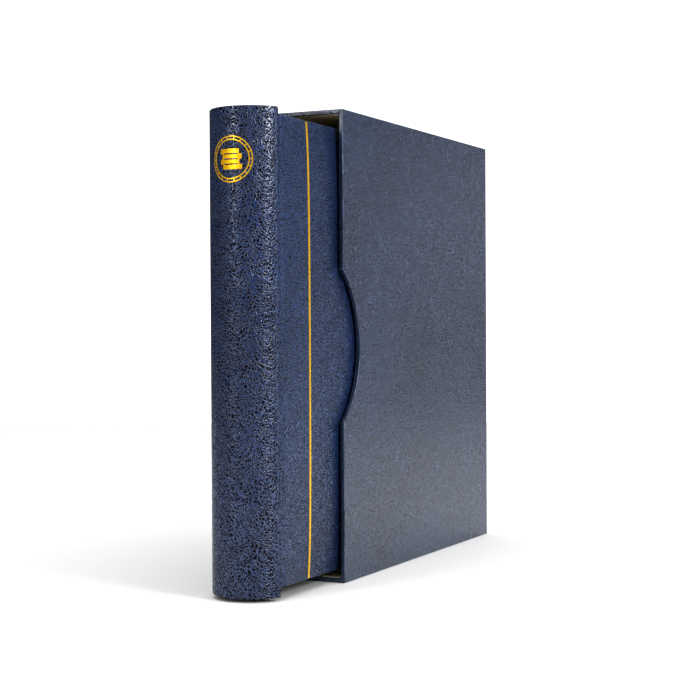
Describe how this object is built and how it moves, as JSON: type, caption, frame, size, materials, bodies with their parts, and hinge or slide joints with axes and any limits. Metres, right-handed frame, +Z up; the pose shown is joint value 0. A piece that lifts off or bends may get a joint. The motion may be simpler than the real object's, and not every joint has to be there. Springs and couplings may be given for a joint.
{
  "type": "coin album",
  "caption": "Ring-bound coin album with a rounded spine and padded leatherette covers, partly drawn out of a matching slipcase with thumb notches.",
  "frame": {"origin": "middle of the slipcase's underside, on the surface that it stands on", "axes": "+Z up; the slipcase's mouth and the album's spine face -X, and the album slides along X; the front cover is on the -Y side"},
  "size_m": [0.371, 0.066, 0.325],
  "materials": {
    "spine_leatherette": "dark blue leatherette with a crinkled two-tone grain, semi-gloss",
    "cover_leatherette": "dark blue grained leatherette over foam, satin",
    "slipcase_leatherette": "greyish blue leatherette with a finer, duller grain",
    "slipcase_lining": "cream lining paper, matt",
    "endpaper": "cream endpaper, matt",
    "grey_board": "pressed grey board, matt, cut edges",
    "foam": "thin soft foam",
    "gold_foil": "hot-stamped gold foil",
    "clear_film": "clear soft film, glossy",
    "dark_card": "black card, matt",
    "title_card": "off-white card, matt",
    "plated_steel": "nickel-plated spring steel, bright"
  },
  "bodies": {
    "slipcase": {"slipcase_front_leatherette": "slipcase_leatherette", "slipcase_front_board": "grey_board", "slipcase_front_lining": "slipcase_lining", "slipcase_rear_leatherette": "slipcase_leatherette", "slipcase_rear_board": "grey_board", "slipcase_rear_lining": "slipcase_lining", "slipcase_top_leatherette": "slipcase_leatherette", "slipcase_top_board": "grey_board", "slipcase_top_lining": "slipcase_lining", "slipcase_bottom_leatherette": "slipcase_leatherette", "slipcase_bottom_board": "grey_board", "slipcase_bottom_lining": "slipcase_lining", "slipcase_back_leatherette": "slipcase_leatherette", "slipcase_back_board": "grey_board", "slipcase_back_lining": "slipcase_lining"},
    "album": {"spine_leatherette": "spine_leatherette", "spine_board": "grey_board", "spine_lining": "endpaper", "spine_emblem_rim": "gold_foil", "spine_emblem_coins": "gold_foil", "front_hinge_leatherette": "cover_leatherette", "front_hinge_lining": "endpaper", "rear_hinge_leatherette": "cover_leatherette", "rear_hinge_lining": "endpaper", "ring_base_plate": "plated_steel", "ring_rivet_1": "plated_steel", "ring_rivet_2": "plated_steel", "lower_lever_pin": "plated_steel", "upper_lever_pin": "plated_steel", "title_leaf": "title_card", "coin_leaf_1_back_film": "clear_film", "coin_leaf_1_front_film": "clear_film", "interleaf_1": "dark_card", "coin_leaf_2_back_film": "clear_film", "coin_leaf_2_front_film": "clear_film", "interleaf_2": "dark_card", "coin_leaf_3_back_film": "clear_film", "coin_leaf_3_front_film": "clear_film"},
    "front_cover": {"front_cover_leatherette": "cover_leatherette", "front_cover_padding": "foam", "front_cover_board": "grey_board", "front_cover_endpaper": "endpaper", "front_cover_gold_line": "gold_foil"},
    "rear_cover": {"rear_cover_leatherette": "cover_leatherette", "rear_cover_padding": "foam", "rear_cover_board": "grey_board", "rear_cover_endpaper": "endpaper", "rear_cover_gold_line": "gold_foil"},
    "front_rings": {"front_ring_blade": "plated_steel", "front_half_ring_1": "plated_steel", "front_half_ring_2": "plated_steel", "front_half_ring_3": "plated_steel", "front_half_ring_4": "plated_steel"},
    "rear_rings": {"rear_ring_blade": "plated_steel", "rear_half_ring_1": "plated_steel", "rear_half_ring_2": "plated_steel", "rear_half_ring_3": "plated_steel", "rear_half_ring_4": "plated_steel"},
    "lower_lever": {"lower_ring_lever": "plated_steel"},
    "upper_lever": {"upper_ring_lever": "plated_steel"}
  },
  "joints": [
    {"name": "album_slide", "type": "slide", "parent": "slipcase", "child": "album", "axis": [-1, 0, 0], "range_m": [-0.076, 0.2]},
    {"name": "front_cover_hinge", "type": "hinge", "parent": "album", "child": "front_cover", "pos_m": [-0.214, -0.0282, 0.1598], "axis": [0, 0, -1], "range_deg": [0, 175], "deforming": ["front_hinge_leatherette", "front_hinge_lining"]},
    {"name": "rear_cover_hinge", "type": "hinge", "parent": "album", "child": "rear_cover", "pos_m": [-0.214, 0.0282, 0.1598], "axis": [0, 0, 1], "range_deg": [0, 175], "deforming": ["rear_hinge_leatherette", "rear_hinge_lining"]},
    {"name": "front_ring_opening", "type": "hinge", "parent": "album", "child": "front_rings", "pos_m": [-0.2251, -0.009, 0.1598], "axis": [0, 0, -1], "range_deg": [0, 12]},
    {"name": "rear_ring_opening", "type": "hinge", "parent": "album", "child": "rear_rings", "pos_m": [-0.2251, 0.009, 0.1598], "axis": [0, 0, 1], "range_deg": [0, 12]},
    {"name": "lower_lever_pivot", "type": "hinge", "parent": "album", "child": "lower_lever", "pos_m": [-0.2251, 0, 0.0168], "axis": [0, 1, 0], "range_deg": [0, 16]},
    {"name": "upper_lever_pivot", "type": "hinge", "parent": "album", "child": "upper_lever", "pos_m": [-0.2251, 0, 0.3028], "axis": [0, -1, 0], "range_deg": [0, 16]}
  ],
  "couplings": [
    {"joint": "rear_ring_opening", "follows": "front_ring_opening", "ratio": 1},
    {"joint": "lower_lever_pivot", "follows": "front_ring_opening", "ratio": 1.3333},
    {"joint": "upper_lever_pivot", "follows": "front_ring_opening", "ratio": 1.3333}
  ]
}
